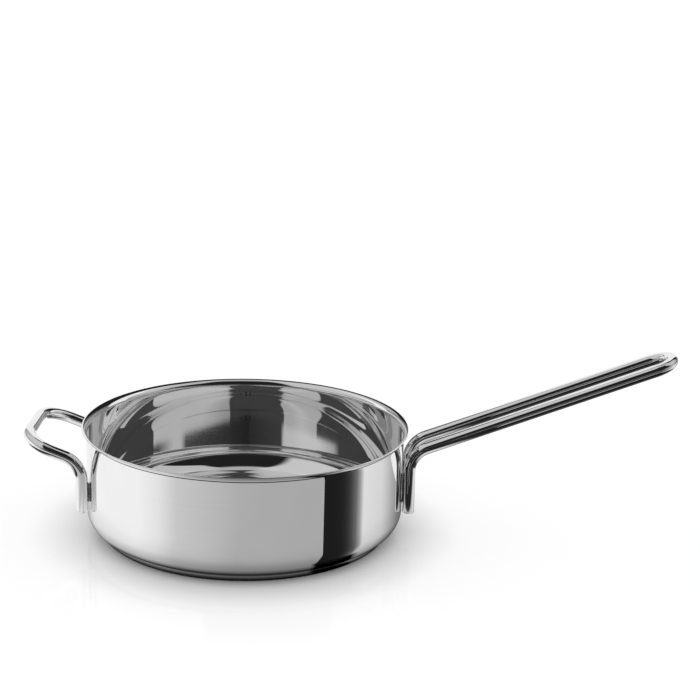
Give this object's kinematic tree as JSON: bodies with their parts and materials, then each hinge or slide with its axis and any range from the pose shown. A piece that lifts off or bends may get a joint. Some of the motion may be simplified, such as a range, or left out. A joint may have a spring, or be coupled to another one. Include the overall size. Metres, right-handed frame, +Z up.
{
  "type": "saute pan",
  "caption": "Round straight-sided steel pan with a clad base, a flared pouring rim, a long bent-tube handle and a looped helper handle.",
  "frame": {"origin": "centre of the flat face under the base, which the pan rests on", "axes": "+X from the pan's centre towards the long handle, +Z up out of the pan's mouth"},
  "size_m": [0.4915, 0.249, 0.1485],
  "materials": {
    "polished_steel": "mirror polished",
    "magnetic_steel": "polished",
    "core_aluminium": "rolled",
    "weld_seam": "as welded"
  },
  "bodies": {
    "root": {"vessel": "polished_steel", "base_cap": "magnetic_steel", "core_disc": "core_aluminium", "long_handle": "polished_steel", "long_handle_plug_left": "polished_steel", "long_handle_plug_right": "polished_steel", "long_handle_weld_left": "weld_seam", "long_handle_weld_right": "weld_seam", "helper_handle": "polished_steel", "helper_handle_plug_left": "polished_steel", "helper_handle_plug_right": "polished_steel", "helper_handle_weld_left": "weld_seam", "helper_handle_weld_right": "weld_seam"}
  },
  "joints": []
}
